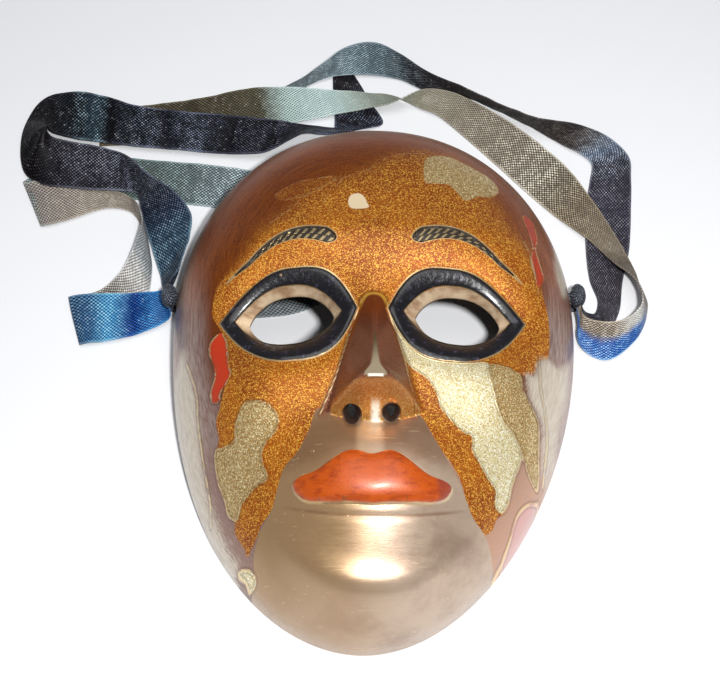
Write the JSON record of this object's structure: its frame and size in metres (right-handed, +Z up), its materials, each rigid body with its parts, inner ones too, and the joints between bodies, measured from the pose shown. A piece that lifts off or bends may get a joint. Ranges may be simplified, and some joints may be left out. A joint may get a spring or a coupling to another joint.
{
  "type": "decorative brass face mask",
  "caption": "Hollow cast brass face mask with lacquered patches, pierced eyes and nostrils, lying face up on its rim, with satin tie ribbons through its side holes.",
  "frame": {"origin": "middle of everything as it lies, on the surface under the mask's rim", "axes": "+Z up out of the face, +Y towards the forehead, +X to the right as the viewer sees the face"},
  "size_m": [0.2146, 0.2266, 0.0578],
  "materials": {
    "lacquered_brass": "cast brass, brushed and bare on the chin and nose, with glossy gold, red-brown, black and orange lacquer fields",
    "blue_satin": "satin ribbon, blue to grey on one tail and near black on the other",
    "brown_satin": "satin ribbon, grey-brown on one tail and charcoal on the other"
  },
  "bodies": {
    "root": {"mask": "lacquered_brass", "left_ribbon": "blue_satin", "right_ribbon": "brown_satin"}
  },
  "joints": []
}
